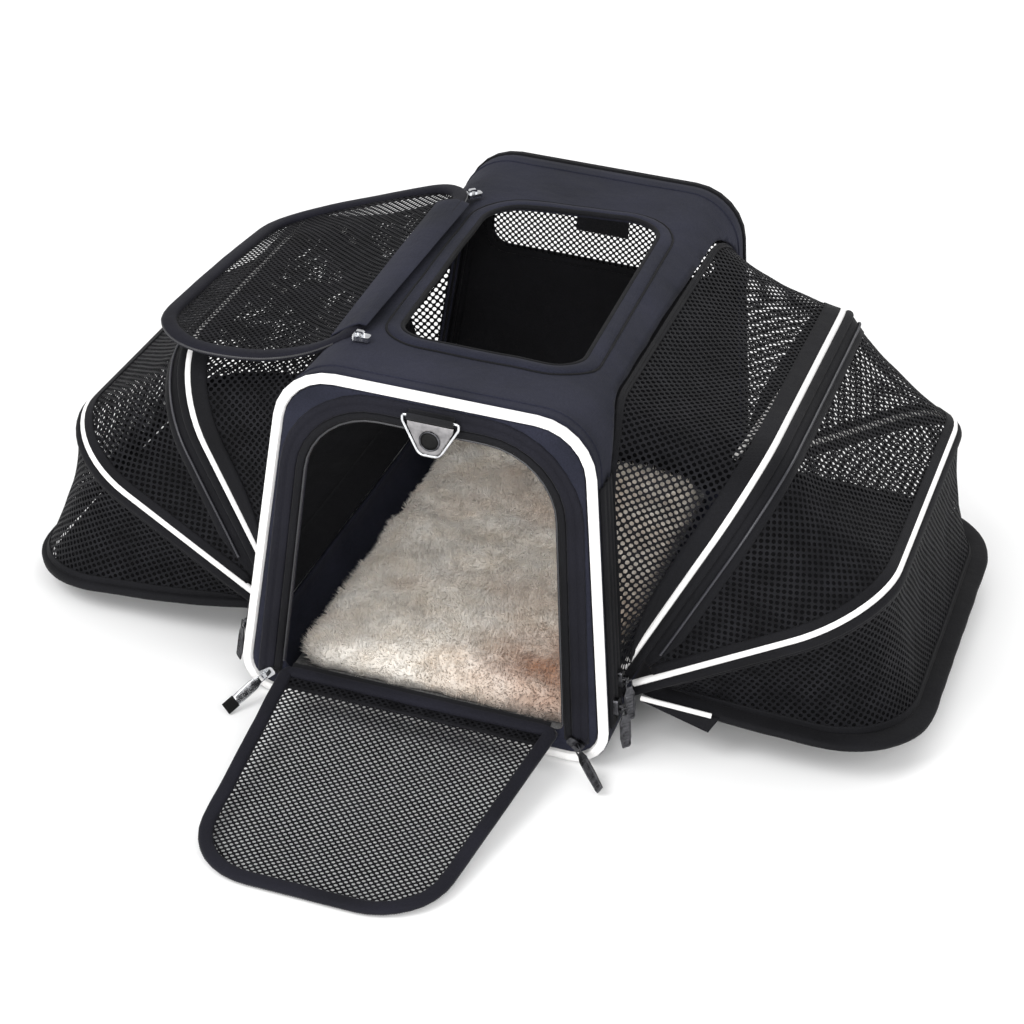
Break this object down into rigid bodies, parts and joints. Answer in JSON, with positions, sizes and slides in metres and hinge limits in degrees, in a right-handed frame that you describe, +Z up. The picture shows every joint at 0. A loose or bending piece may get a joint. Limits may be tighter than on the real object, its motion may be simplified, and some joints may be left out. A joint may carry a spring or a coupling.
{
  "type": "pet carrier bag",
  "caption": "Soft-sided pet carrier bag with a fold-down netting front door, a netting top lid and a fan-out netting wing on each long side.",
  "frame": {"origin": "centre of the bag body's underside, on the surface it stands on", "axes": "-Y out of the front door, +X towards the right wing as seen from the front, +Z up"},
  "size_m": [0.7261, 0.6584, 0.2873],
  "materials": {
    "navy_fabric": "matt woven polyester",
    "black_fabric": "matt woven binding over wire or padding",
    "black_netting": "open polyester netting",
    "white_piping": "smooth reflective piping",
    "cream_fleece": "short fleece pile",
    "zip_tape": "woven tape with coil teeth",
    "spring_steel": "bright spring wire",
    "chrome": "polished plate",
    "gunmetal": "dark polished plate",
    "grey_board": "moulded board"
  },
  "bodies": {
    "bag": {"back_binding": "black_fabric", "back_frame_wire": "spring_steel", "back_panel": "navy_fabric", "back_tab": "black_fabric", "back_window_netting": "black_netting", "base_board": "grey_board", "bottom_tray": "navy_fabric", "fleece_pad": "cream_fleece", "front_frame_wire": "spring_steel", "front_panel": "navy_fabric", "front_piping": "white_piping", "front_zip_tape": "zip_tape", "left_arch_binding": "black_fabric", "left_zip_tape": "zip_tape", "right_arch_binding": "black_fabric", "right_zip_tape": "zip_tape", "ring_tab": "black_fabric", "top_opening_binding": "black_fabric", "top_shell": "navy_fabric"},
    "front_door": {"front_door_rim": "black_fabric", "front_door_netting": "black_netting"},
    "top_lid": {"top_lid_rim": "black_fabric", "top_lid_netting": "black_netting"},
    "triangle_ring": {"triangle_ring": "gunmetal"},
    "right_wing": {"right_wing_floor": "black_fabric", "right_wing_rim": "black_fabric", "right_wing_piping": "white_piping", "right_outer_gore": "black_netting"},
    "right_inner_hoop": {"right_inner_hoop": "black_fabric", "right_inner_hoop_piping": "white_piping", "right_inner_gore": "black_netting"},
    "right_outer_hoop": {"right_outer_hoop": "black_fabric", "right_outer_hoop_piping": "white_piping", "right_middle_gore": "black_netting"},
    "left_wing": {"left_wing_floor": "black_fabric", "left_wing_rim": "black_fabric", "left_outer_gore": "black_netting"},
    "left_inner_hoop": {"left_inner_hoop": "black_fabric", "left_inner_hoop_piping": "white_piping", "left_inner_gore": "black_netting"},
    "left_outer_hoop": {"left_outer_hoop": "black_fabric", "left_outer_hoop_piping": "white_piping", "left_middle_gore": "black_netting"},
    "front_left_slider": {"front_left_slider": "chrome"},
    "front_left_pull": {"front_left_pull": "chrome"},
    "front_right_slider": {"front_right_slider": "gunmetal"},
    "front_right_pull": {"front_right_pull": "gunmetal"},
    "right_wing_lower_slider": {"right_wing_lower_slider": "gunmetal"},
    "right_wing_lower_pull": {"right_wing_lower_pull": "gunmetal"},
    "right_wing_upper_slider": {"right_wing_upper_slider": "gunmetal"},
    "right_wing_upper_pull": {"right_wing_upper_pull": "gunmetal"},
    "left_wing_lower_slider": {"left_wing_lower_slider": "gunmetal"},
    "left_wing_lower_pull": {"left_wing_lower_pull": "gunmetal"},
    "left_wing_upper_slider": {"left_wing_upper_slider": "gunmetal"},
    "left_wing_upper_pull": {"left_wing_upper_pull": "gunmetal"},
    "lid_front_slider": {"lid_front_slider": "gunmetal"},
    "lid_back_slider": {"lid_back_slider": "gunmetal"}
  },
  "joints": [
    {"name": "front_door_hinge", "type": "hinge", "parent": "bag", "child": "front_door", "pos_m": [0, -0.2175, 0.0245], "axis": [-1, 0, 0], "range_deg": [0, 96.5]},
    {"name": "top_lid_hinge", "type": "hinge", "parent": "bag", "child": "top_lid", "pos_m": [-0.083, 0, 0.2848], "axis": [0, 1, 0], "range_deg": [0, 193.5]},
    {"name": "triangle_ring_hinge", "type": "hinge", "parent": "bag", "child": "triangle_ring", "pos_m": [0, -0.2201, 0.2655], "axis": [-1, 0, 0], "range_deg": [0, 110]},
    {"name": "right_wing_hinge", "type": "hinge", "parent": "bag", "child": "right_wing", "pos_m": [0.15, 0, 0.0352], "axis": [0, -1, 0], "range_deg": [0, 96], "deforming": ["right_outer_gore"]},
    {"name": "right_inner_hoop_hinge", "type": "hinge", "parent": "bag", "child": "right_inner_hoop", "pos_m": [0.134, 0, 0.031], "axis": [0, -1, 0], "range_deg": [0, 32], "deforming": ["right_inner_gore"]},
    {"name": "right_outer_hoop_hinge", "type": "hinge", "parent": "bag", "child": "right_outer_hoop", "pos_m": [0.134, 0, 0.031], "axis": [0, -1, 0], "range_deg": [0, 63], "deforming": ["right_middle_gore"]},
    {"name": "left_wing_hinge", "type": "hinge", "parent": "bag", "child": "left_wing", "pos_m": [-0.15, 0, 0.0352], "axis": [0, 1, 0], "range_deg": [0, 99], "deforming": ["left_outer_gore"]},
    {"name": "left_inner_hoop_hinge", "type": "hinge", "parent": "bag", "child": "left_inner_hoop", "pos_m": [-0.134, 0, 0.031], "axis": [0, 1, 0], "range_deg": [0, 34.5], "deforming": ["left_inner_gore"]},
    {"name": "left_outer_hoop_hinge", "type": "hinge", "parent": "bag", "child": "left_outer_hoop", "pos_m": [-0.134, 0, 0.031], "axis": [0, 1, 0], "range_deg": [0, 62.5], "deforming": ["left_middle_gore"]},
    {"name": "front_left_slide", "type": "slide", "parent": "bag", "child": "front_left_slider", "axis": [0.0877, 0, 0.9962], "range_m": [0, 0.15]},
    {"name": "front_left_pull_hinge", "type": "hinge", "parent": "front_left_slider", "child": "front_left_pull", "pos_m": [-0.1225, -0.2218, 0.01954], "axis": [-0.6402, 0, 0.7682], "range_deg": [-4, 74]},
    {"name": "front_right_slide", "type": "slide", "parent": "bag", "child": "front_right_slider", "axis": [-0.0877, 0, 0.9962], "range_m": [0, 0.15]},
    {"name": "front_right_pull_hinge", "type": "hinge", "parent": "front_right_slider", "child": "front_right_pull", "pos_m": [0.12268, -0.2218, 0.01979], "axis": [-0.4716, 0, -0.8818], "range_deg": [-6, 70]},
    {"name": "right_wing_lower_slide", "type": "slide", "parent": "bag", "child": "right_wing_lower_slider", "axis": [-0.11, 0, 0.9939], "range_m": [0, 0.14]},
    {"name": "right_wing_lower_pull_hinge", "type": "hinge", "parent": "right_wing_lower_slider", "child": "right_wing_lower_pull", "pos_m": [0.14782, -0.1975, 0.04526], "axis": [0, -1, 0], "range_deg": [0, 150]},
    {"name": "right_wing_upper_slide", "type": "slide", "parent": "bag", "child": "right_wing_upper_slider", "axis": [-0.11, 0, 0.9939], "range_m": [0, 0.14]},
    {"name": "right_wing_upper_pull_hinge", "type": "hinge", "parent": "right_wing_upper_slider", "child": "right_wing_upper_pull", "pos_m": [0.14605, -0.1845, 0.06126], "axis": [0, -1, 0], "range_deg": [0, 150]},
    {"name": "left_wing_lower_slide", "type": "slide", "parent": "bag", "child": "left_wing_lower_slider", "axis": [0.11, 0, 0.9939], "range_m": [0, 0.14]},
    {"name": "left_wing_lower_pull_hinge", "type": "hinge", "parent": "left_wing_lower_slider", "child": "left_wing_lower_pull", "pos_m": [-0.14782, -0.1975, 0.04526], "axis": [0, 1, 0], "range_deg": [0, 150]},
    {"name": "left_wing_upper_slide", "type": "slide", "parent": "bag", "child": "left_wing_upper_slider", "axis": [0.11, 0, 0.9939], "range_m": [0, 0.14]},
    {"name": "left_wing_upper_pull_hinge", "type": "hinge", "parent": "left_wing_upper_slider", "child": "left_wing_upper_pull", "pos_m": [-0.14605, -0.1845, 0.06126], "axis": [0, 1, 0], "range_deg": [0, 150]},
    {"name": "lid_front_slide", "type": "slide", "parent": "bag", "child": "lid_front_slider", "axis": [1, 0, 0], "range_m": [0, 0.11]},
    {"name": "lid_back_slide", "type": "slide", "parent": "bag", "child": "lid_back_slider", "axis": [0.7071, 0.7071, 0], "range_m": [0, 0.03]}
  ],
  "couplings": [
    {"joint": "right_inner_hoop_hinge", "follows": "right_wing_hinge", "ratio": 0.3333},
    {"joint": "right_outer_hoop_hinge", "follows": "right_wing_hinge", "ratio": 0.6562},
    {"joint": "left_inner_hoop_hinge", "follows": "left_wing_hinge", "ratio": 0.3484},
    {"joint": "left_outer_hoop_hinge", "follows": "left_wing_hinge", "ratio": 0.6313}
  ]
}
